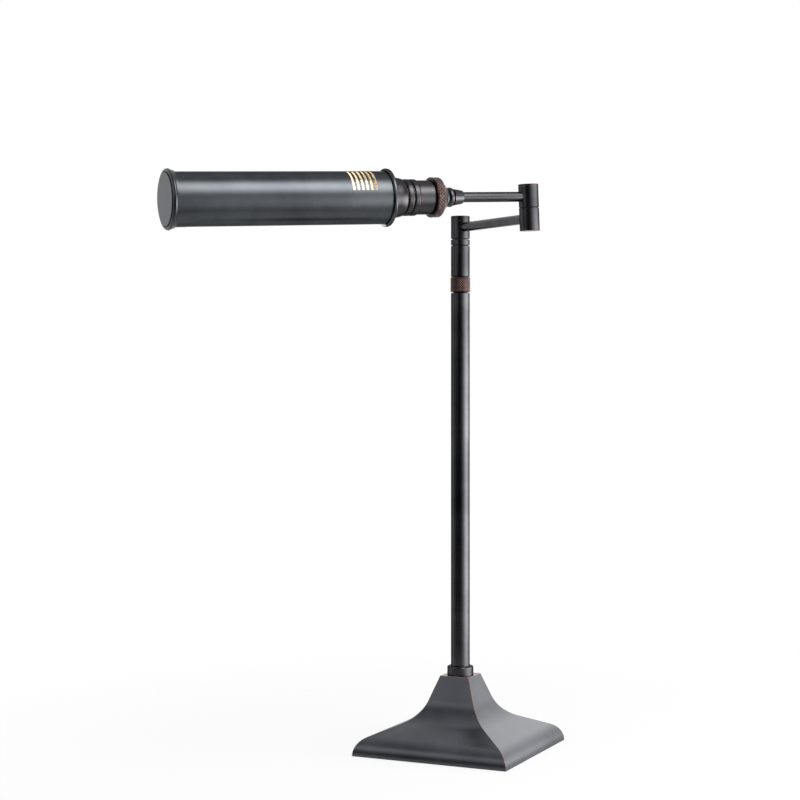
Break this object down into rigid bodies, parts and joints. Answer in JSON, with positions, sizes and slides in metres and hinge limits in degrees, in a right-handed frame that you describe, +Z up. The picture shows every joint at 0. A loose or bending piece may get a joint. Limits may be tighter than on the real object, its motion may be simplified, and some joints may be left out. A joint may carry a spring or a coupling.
{
  "type": "table lamp",
  "caption": "Swing-arm table lamp: square ogee base, round post with a rotary ring, folding arms, and a tubular shade that rolls on its axis.",
  "frame": {"origin": "centre of the felt foot's underside, on the post's axis", "axes": "+Z up along the post; +X and +Y square to the base's sides, with the cord inlet on the +Y side"},
  "size_m": [0.2672, 0.4462, 0.5683],
  "materials": {
    "bronze_casting": "satin bronze coat",
    "bronze": "satin bronze coat",
    "bronze_knurled": "knurled, worn reddish bronze coat",
    "dark_steel": "blackened",
    "iron": "rough",
    "felt": "felt",
    "steel": "zinc plated",
    "brass": "satin",
    "black_plastic": "moulded",
    "washer_plastic": "plain",
    "bulb_glass": "frosted"
  },
  "bodies": {
    "base": {"base_shell": "bronze_casting", "base_weight": "iron", "base_pad": "felt", "weight_screws": "steel", "cord_bushing": "black_plastic", "post_nipple": "brass", "nipple_washer": "steel", "nipple_nut": "steel", "base_collar": "bronze", "post_foot_plug": "steel", "post_tube": "bronze", "post_joiner": "dark_steel", "upper_bush": "steel", "switch_body": "black_plastic", "upper_tube": "bronze", "spacer_ring": "bronze", "post_swivel_washer": "washer_plastic", "post_spindle": "brass", "post_spindle_nut": "steel"},
    "switch": {"switch_ring": "bronze_knurled", "switch_rotor": "black_plastic", "drive_pin": "steel"},
    "lower_arm": {"post_hub": "bronze", "post_hub_cap": "bronze", "lower_arm_tube": "bronze", "elbow_lower_hub": "bronze", "elbow_lower_cap": "bronze", "elbow_spindle": "brass", "elbow_washer": "washer_plastic", "elbow_nut": "steel"},
    "upper_arm": {"elbow_upper_hub": "bronze", "elbow_upper_cap": "bronze", "upper_arm_tube": "bronze", "arm_collar": "bronze", "head_stud": "brass", "head_washer": "washer_plastic", "head_nut": "steel"},
    "head": {"bead_ring": "bronze", "socket_cup": "bronze", "socket_sleeve": "bronze", "rear_flange": "bronze", "shade_retainer": "brass", "shade_tube": "bronze", "front_cap": "bronze", "lampholder_body": "black_plastic", "lampholder_screws": "steel", "lamp_screw_shell": "brass", "lamp_contact": "brass", "bulb_cap": "brass", "bulb_tip": "black_plastic", "bulb_glass": "bulb_glass"},
    "lock": {"lock_ring": "bronze_knurled"}
  },
  "joints": [
    {"name": "post_swivel", "type": "hinge", "parent": "base", "child": "lower_arm", "pos_m": [0, 0, 0.51565], "axis": [0, 0, 1], "range_deg": [-175, 175]},
    {"name": "elbow_swivel", "type": "hinge", "parent": "lower_arm", "child": "upper_arm", "pos_m": [0.10534, -0.08136, 0.53717], "axis": [-0.0255, -0.0332, 0.9991], "range_deg": [-65, 254]},
    {"name": "head_roll", "type": "hinge", "parent": "upper_arm", "child": "head", "pos_m": [0.05225, -0.14036, 0.54436], "axis": [-0.6686, -0.7425, -0.0417], "range_deg": [-114, 186]},
    {"name": "lock_ring_turn", "type": "hinge", "parent": "head", "child": "lock", "pos_m": [0.04209, -0.15165, 0.54372], "axis": [-0.6686, -0.7425, -0.0417], "range_deg": [0, 90]},
    {"name": "switch_turn", "type": "hinge", "parent": "base", "child": "switch", "pos_m": [0, 0, 0.4692], "axis": [0, 0, 1], "range_deg": [-180, 0]}
  ]
}
